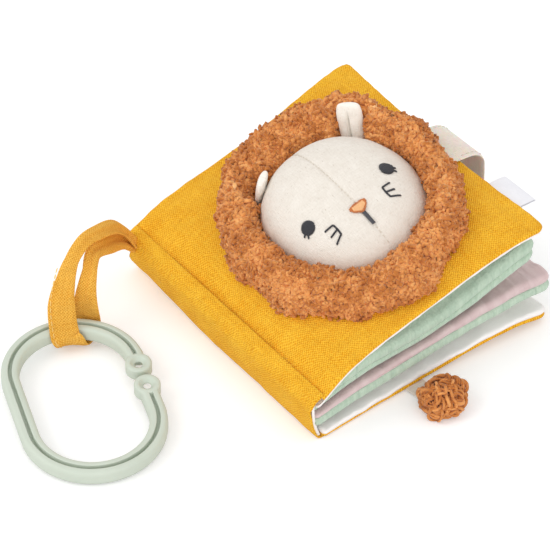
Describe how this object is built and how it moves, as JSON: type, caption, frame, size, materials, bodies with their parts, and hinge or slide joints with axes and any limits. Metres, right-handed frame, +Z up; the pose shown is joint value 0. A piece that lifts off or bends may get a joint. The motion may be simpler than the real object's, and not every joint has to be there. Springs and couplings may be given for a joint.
{
  "type": "crinkle cloth book",
  "caption": "Quilted cloth book lying fanned open, with a stuffed lion's head on its front cover, a closure strap, a tufted tail and a plastic clip-on ring in a fabric loop.",
  "frame": {"origin": "the middle of the flat underside of the back cover, the face that lies on the table", "axes": "+X from the spine to the fore-edge, +Y from the foot of the book to its head, +Z up out of the back cover"},
  "size_m": [0.2577, 0.1781, 0.085],
  "materials": {
    "muslin": "mustard yellow crinkled cotton muslin, plain weave with slubs",
    "printed_cotton": "off-white cotton lining with small scattered dots",
    "mint_terry": "mint green short-pile terry",
    "mauve_satin": "mauve woven satin, soft sheen, gathered at its seams",
    "wadding": "white polyester wadding, hidden inside",
    "crinkle_film": "thin rustling plastic film, hidden inside",
    "sherpa": "caramel brown curly sherpa pile",
    "linen": "natural linen with fine dark flecks",
    "black_thread": "black embroidery thread in satin stitch",
    "orange_thread": "orange embroidery thread in satin stitch",
    "label_satin": "bare white satin ribbon, folded",
    "fastener": "cream hook-and-loop tape",
    "ring_plastic": "sage green soft plastic with a satin surface"
  },
  "bodies": {
    "back_cover": {"back_cover_shell": "muslin", "back_cover_lining": "printed_cotton", "back_cover_wadding": "wadding", "back_cover_crinkle_film": "crinkle_film", "spine_shell": "muslin", "spine_lining": "printed_cotton", "cover_loop_patch": "fastener"},
    "front_cover": {"front_cover_shell": "muslin", "front_cover_lining": "printed_cotton", "front_cover_wadding": "wadding", "front_cover_crinkle_film": "crinkle_film", "lion_face": "linen", "head_stuffing": "wadding", "mane": "sherpa", "left_ear": "linen", "right_ear": "linen", "left_eye": "black_thread", "right_eye": "black_thread", "nose": "orange_thread", "mouth_stitch": "black_thread", "left_whiskers": "black_thread", "right_whiskers": "black_thread", "side_label": "label_satin"},
    "leaf_1": {"leaf_1_top_terry": "mint_terry", "leaf_1_under_terry": "mint_terry", "leaf_1_wadding": "wadding", "leaf_1_crinkle_film": "crinkle_film"},
    "leaf_2": {"leaf_2_top_satin": "mauve_satin", "leaf_2_under_terry": "mint_terry", "leaf_2_wadding": "wadding", "leaf_2_crinkle_film": "crinkle_film"},
    "strap": {"closure_strap": "linen", "strap_hook_tape": "fastener"},
    "tail": {"tail_strip": "linen", "tail_tuft": "sherpa"},
    "loop": {"ring_loop": "muslin"},
    "clip_ring": {"ring": "ring_plastic"}
  },
  "joints": [
    {"name": "front_cover_hinge", "type": "hinge", "parent": "back_cover", "child": "front_cover", "pos_m": [-0.0712, 0, 0.0209], "axis": [0, -1, 0], "range_deg": [0, 75]},
    {"name": "leaf_1_hinge", "type": "hinge", "parent": "back_cover", "child": "leaf_1", "pos_m": [-0.0685, 0, 0.017], "axis": [0, -1, 0], "range_deg": [0, 50]},
    {"name": "leaf_2_hinge", "type": "hinge", "parent": "back_cover", "child": "leaf_2", "pos_m": [-0.0685, 0, 0.01184], "axis": [0, -1, 0], "range_deg": [0, 25]},
    {"name": "strap_hinge", "type": "hinge", "parent": "front_cover", "child": "strap", "pos_m": [0.0605, -0.003, 0.0634], "axis": [0, -1, 0], "range_deg": [0, 80]},
    {"name": "tail_hinge", "type": "hinge", "parent": "back_cover", "child": "tail", "pos_m": [-0.011, -0.0715, 0.001], "axis": [0, 0, 1], "range_deg": [-30, 30]},
    {"name": "loop_hinge", "type": "hinge", "parent": "back_cover", "child": "loop", "pos_m": [-0.0715, 0.0683, 0.021], "axis": [0, -1, 0], "range_deg": [-35, 0]},
    {"name": "ring_hinge", "type": "hinge", "parent": "loop", "child": "clip_ring", "pos_m": [-0.1203, 0.0461, 0.008], "axis": [0.8225, -0.5688, 0], "range_deg": [-70, 0]}
  ],
  "couplings": [
    {"joint": "leaf_1_hinge", "follows": "front_cover_hinge", "ratio": 0.66},
    {"joint": "leaf_2_hinge", "follows": "front_cover_hinge", "ratio": 0.33}
  ]
}
